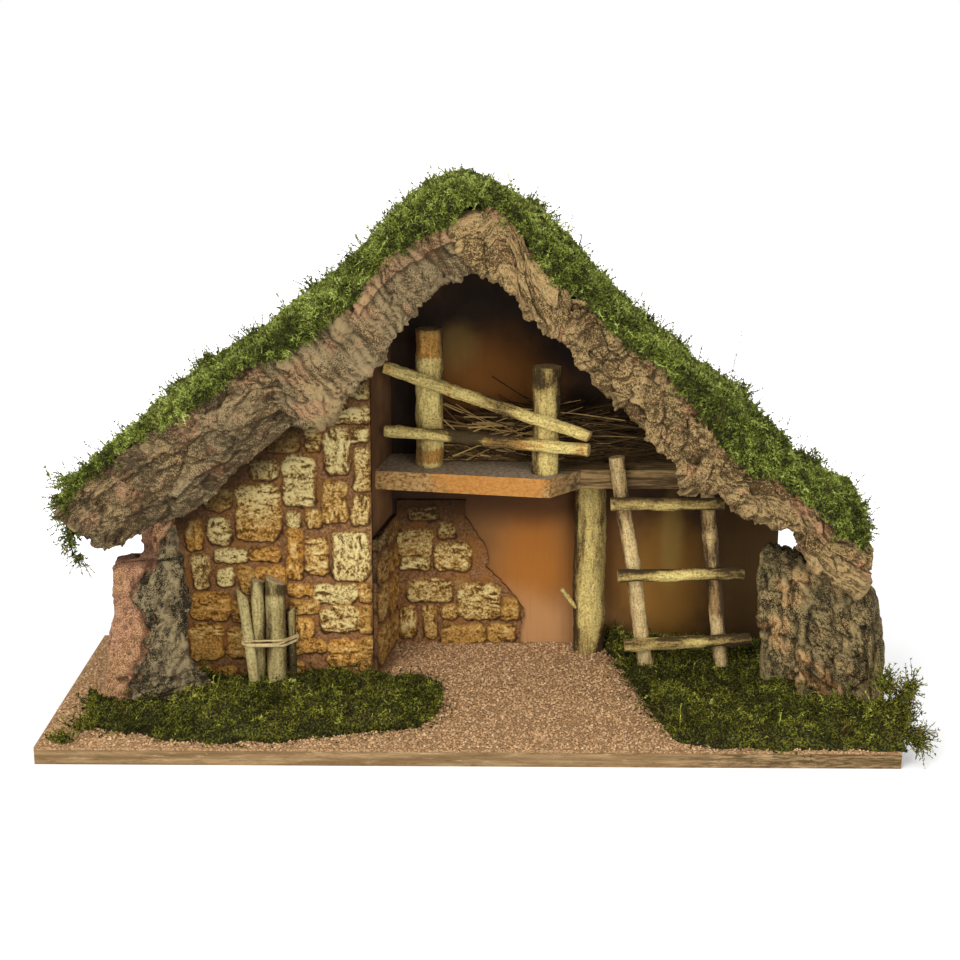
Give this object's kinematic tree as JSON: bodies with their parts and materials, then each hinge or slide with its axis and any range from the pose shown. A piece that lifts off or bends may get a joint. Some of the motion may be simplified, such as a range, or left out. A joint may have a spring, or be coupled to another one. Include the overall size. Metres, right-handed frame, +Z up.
{
  "type": "wooden nativity stable",
  "caption": "Model stable with a moss-covered gable roof edged in cork bark, a carved stone wall, a railed loft on a branch post, a ladder and a moss-strewn base, for nativity figures.",
  "frame": {"origin": "middle of the base board's underside, on the surface the stable stands on", "axes": "+X to the right seen from the open front, +Y from the front to the back wall, +Z up"},
  "size_m": [0.5035, 0.18, 0.3265],
  "materials": {
    "plywood": "raw plywood with its plies on the edges",
    "cork_granules": "glued granulated cork",
    "painted_board": "matt airbrushed paint, dark brown to orange",
    "carved_stones": "carved soft board, dry-brushed cream over ochre",
    "chipboard": "sawn chipboard stained orange",
    "plain_board": "raw board",
    "cork_bark": "raw cork bark, deeply fissured",
    "dark_bark": "charcoal-grey bark with orange flecks",
    "peeled_branch": "half-peeled branch, cream paint over dark bark",
    "bundle_stick": "dry olive-tan twig",
    "brushwood": "dry dark stalks",
    "raffia": "pale raffia",
    "roof_moss": "dried green moss",
    "ground_moss": "dried dark green moss",
    "nail_steel": "bright wire"
  },
  "bodies": {
    "root": {"back_stone_facing": "carved_stones", "back_wall": "painted_board", "bark_left_lower": "cork_bark", "bark_left_upper": "cork_bark", "bark_ridge": "cork_bark", "bark_right_lower": "cork_bark", "bark_right_middle": "cork_bark", "bark_stump_left": "cork_bark", "bark_stump_right": "dark_bark", "base_board": "plywood", "base_nails": "nail_steel", "brushwood": "brushwood", "bundle_stick_middle": "bundle_stick", "bundle_stick_pale": "bundle_stick", "bundle_stick_split": "bundle_stick", "bundle_stick_thick": "bundle_stick", "bundle_tie": "raffia", "fascia_brads": "nail_steel", "ground_cover": "cork_granules", "ground_moss_left": "ground_moss", "ground_moss_right": "ground_moss", "ladder_rung_bottom": "peeled_branch", "ladder_rung_middle": "peeled_branch", "ladder_rung_top": "peeled_branch", "ladder_stile_left": "peeled_branch", "ladder_stile_right": "peeled_branch", "left_side_wall": "painted_board", "loft_board": "chipboard", "loft_nails": "nail_steel", "loft_post_left": "peeled_branch", "loft_post_right": "peeled_branch", "partition_stone_facing": "carved_stones", "partition_wall": "painted_board", "post_nails": "nail_steel", "rail_lower": "peeled_branch", "rail_pins": "nail_steel", "rail_upper": "peeled_branch", "roof_moss_left": "roof_moss", "roof_moss_right": "roof_moss", "roof_nails": "nail_steel", "roof_panel_left": "plain_board", "roof_panel_right": "plain_board", "rung_pins": "nail_steel", "stone_wall": "carved_stones", "support_post": "peeled_branch"}
  },
  "joints": []
}
